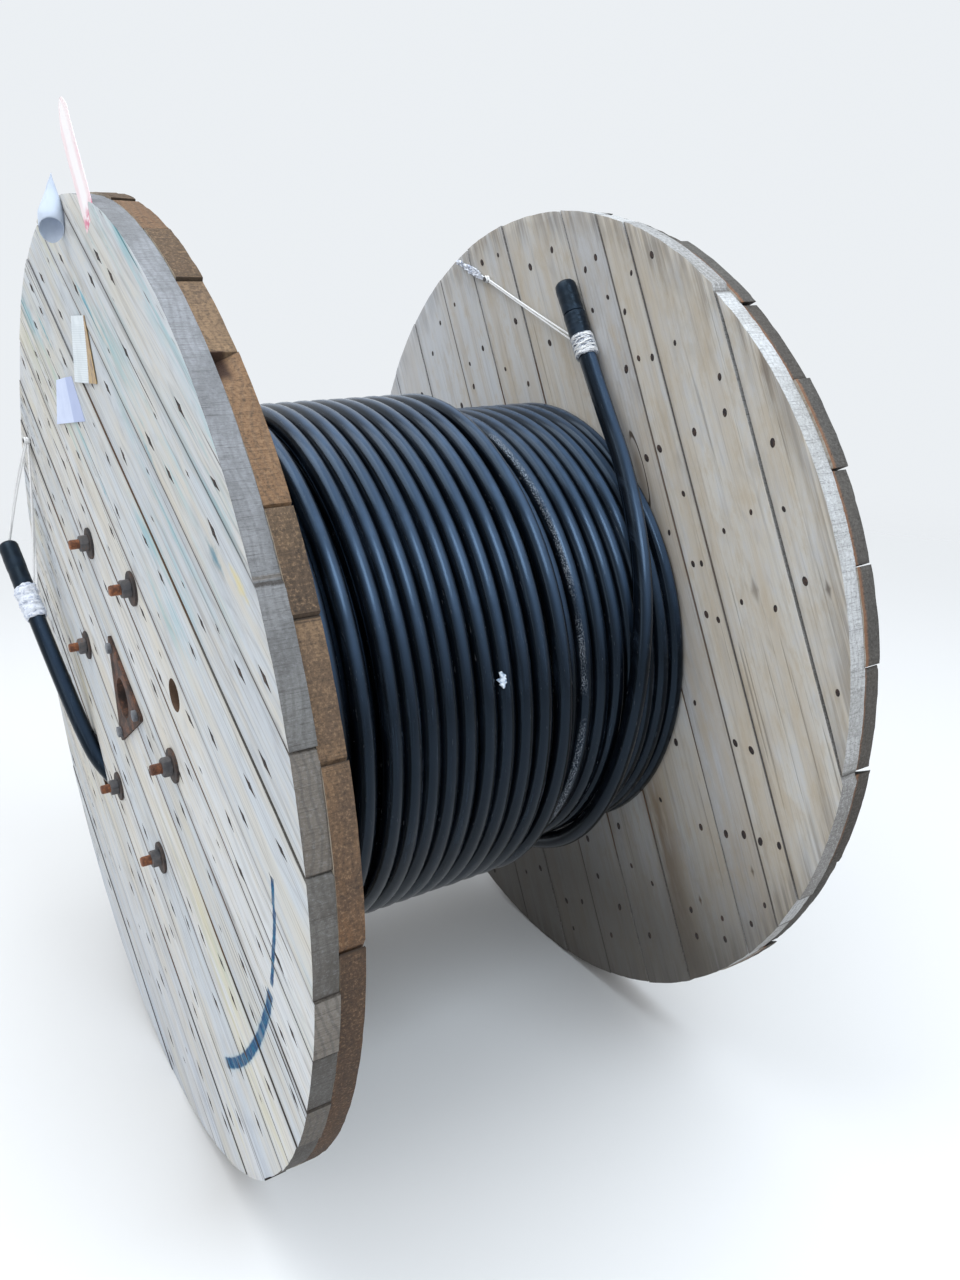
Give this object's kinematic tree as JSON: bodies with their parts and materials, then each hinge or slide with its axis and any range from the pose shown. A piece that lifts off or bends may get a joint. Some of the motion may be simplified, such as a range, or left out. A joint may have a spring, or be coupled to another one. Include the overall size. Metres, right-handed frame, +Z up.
{
  "type": "cable drum",
  "caption": "Wooden cable drum with crossed-board cheeks, a stave barrel, tie rods and steel axial bushes, part wound with thick black cable whose two ends are tied up.",
  "frame": {"origin": "on the ground under the middle of the drum, between the two cheeks", "axes": "+X along the drum's axis from the near cheek to the far one, +Z up; the drum lies on its two rims"},
  "size_m": [1.2127, 1.7983, 1.943],
  "materials": {
    "bleached_boards": "rough sawn, bleached white-grey",
    "brown_boards": "rough sawn, brown end grain",
    "cream_boards": "planed, cream-beige",
    "grey_boards": "rough sawn, grey-brown",
    "stave_wood": "planed",
    "rusty_rods": "rusted",
    "grey_zinc": "dull zinc with rust",
    "rust_brown_steel": "rusted brown",
    "black_sheath": "satin, dusty",
    "black_cap": "matte, wrinkled",
    "pale_tape": "matte",
    "white_string": "twisted",
    "clear_pouch": "glossy, dirty",
    "blank_paper": "creased, faded"
  },
  "bodies": {
    "root": {"near_cheek_outer_boards": "bleached_boards", "near_cheek_inner_boards": "brown_boards", "far_cheek_inner_boards": "cream_boards", "far_cheek_outer_boards": "grey_boards", "barrel_staves": "stave_wood", "tie_rods": "rusty_rods", "tie_washers": "grey_zinc", "tie_nuts": "grey_zinc", "near_bush_plate": "rust_brown_steel", "far_bush_plate": "rust_brown_steel", "bush_plate_bolts": "rust_brown_steel", "cable_winding": "black_sheath", "inner_cable_end": "black_sheath", "outer_cable_end": "black_sheath", "inner_cable_cap": "black_cap", "outer_cable_cap": "black_cap", "inner_tape_wrap": "pale_tape", "outer_string_wrap": "white_string", "tie_nails": "rusty_rods", "string_knots": "white_string", "outer_tie_strings": "white_string", "inner_tie_strings": "white_string", "document_pouch": "clear_pouch", "folded_paper": "blank_paper", "marker_strip": "blank_paper", "paper_roll": "blank_paper"}
  },
  "joints": []
}
